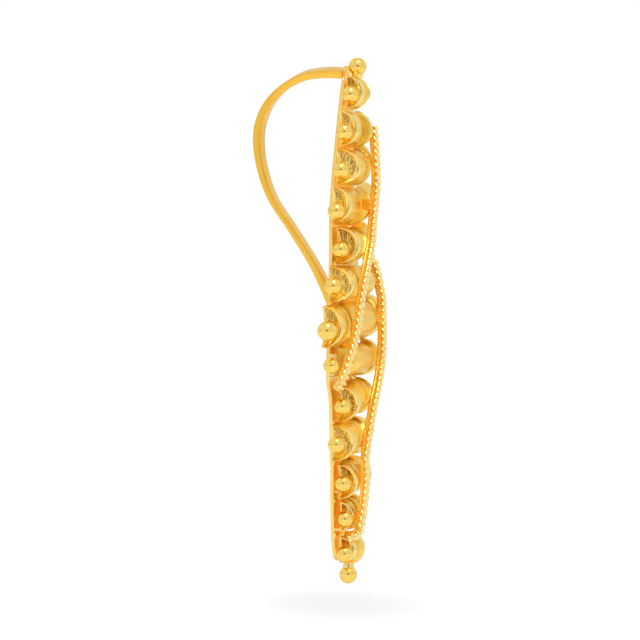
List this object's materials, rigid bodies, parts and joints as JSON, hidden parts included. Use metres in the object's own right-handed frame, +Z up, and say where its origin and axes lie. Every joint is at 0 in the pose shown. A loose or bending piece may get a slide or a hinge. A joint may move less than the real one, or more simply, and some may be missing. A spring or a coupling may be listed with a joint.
{
  "type": "pendant",
  "caption": "Gold pendant: an S-shaped spray of domed, ball-ended petals on a leaf-shaped back plate, edged by twisted ropes and hung by a ribbon bail bowed out behind.",
  "frame": {"origin": "underside of the top of the bail's loop, where a chain bears, in the pendant's middle plane", "axes": "+Z up as it hangs; -Y out of the decorated front; +X to the wearer's left"},
  "size_m": [0.0166, 0.0112, 0.045],
  "materials": {
    "polished_gold": "polished",
    "satin_gold": "satin"
  },
  "bodies": {
    "root": {"back_plate": "polished_gold", "bail": "polished_gold", "left_petal_1": "satin_gold", "right_petal_1": "satin_gold", "left_petal_2": "satin_gold", "right_petal_2": "satin_gold", "left_petal_3": "satin_gold", "right_petal_3": "satin_gold", "left_petal_4": "satin_gold", "right_petal_4": "satin_gold", "left_petal_5": "satin_gold", "right_petal_5": "satin_gold", "left_petal_6": "satin_gold", "right_petal_6": "satin_gold", "left_petal_7": "satin_gold", "right_petal_7": "satin_gold", "left_tail_petal_1": "satin_gold", "right_tail_petal_1": "satin_gold", "left_tail_petal_2": "satin_gold", "right_tail_petal_2": "satin_gold", "left_tail_petal_3": "satin_gold", "right_tail_petal_3": "satin_gold", "left_tail_petal_4": "satin_gold", "right_tail_petal_4": "satin_gold", "left_tail_petal_5": "satin_gold", "right_tail_petal_5": "satin_gold", "centre_dome_1": "satin_gold", "centre_dome_2": "satin_gold", "centre_dome_3": "satin_gold", "left_rope": "polished_gold", "right_rope": "polished_gold", "top_finial": "polished_gold", "bottom_finial": "polished_gold", "left_scroll_ball": "polished_gold", "right_scroll_ball": "polished_gold"}
  },
  "joints": []
}
